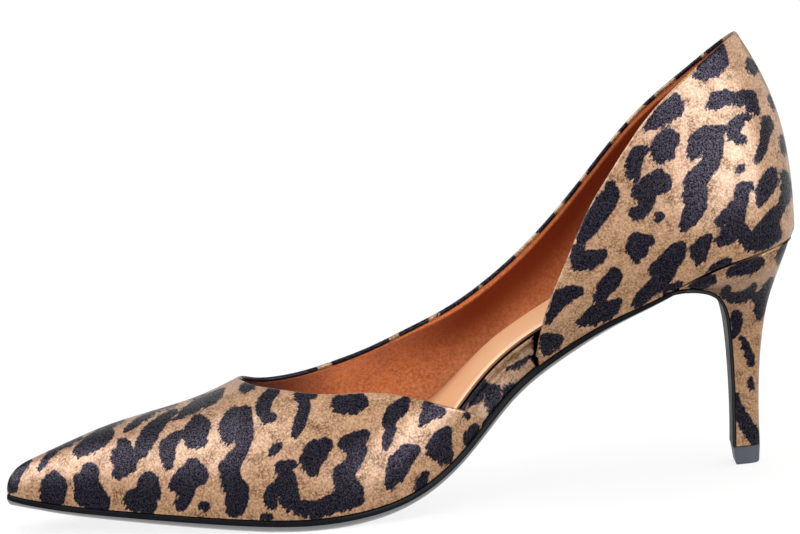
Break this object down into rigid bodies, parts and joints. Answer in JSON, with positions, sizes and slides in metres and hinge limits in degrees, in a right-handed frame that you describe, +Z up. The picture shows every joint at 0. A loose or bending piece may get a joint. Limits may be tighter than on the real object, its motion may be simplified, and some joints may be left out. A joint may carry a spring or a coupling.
{
  "type": "stiletto pump",
  "caption": "Pointed leopard-print satin pump on a slim high heel, cut down to the sole on its inner side between vamp and quarter.",
  "frame": {"origin": "on the floor, under the centre of the shoe's bounding box", "axes": "+X from toe to heel, +Y to the outer (lateral) side of the foot, +Z up"},
  "size_m": [0.2372, 0.0731, 0.128],
  "materials": {
    "printed_satin": "printed satin, soft sheen",
    "black_sole": "black, polished edge",
    "covered_heel": "printed satin over a moulded heel",
    "grey_rubber": "matt slate grey",
    "wrapped_insole": "printed satin wrapped over the edge",
    "tan_leather": "smooth, half gloss"
  },
  "bodies": {
    "root": {"upper": "printed_satin", "outsole": "black_sole", "heel": "covered_heel", "top_piece": "grey_rubber", "insole": "wrapped_insole", "sock": "tan_leather"}
  },
  "joints": []
}
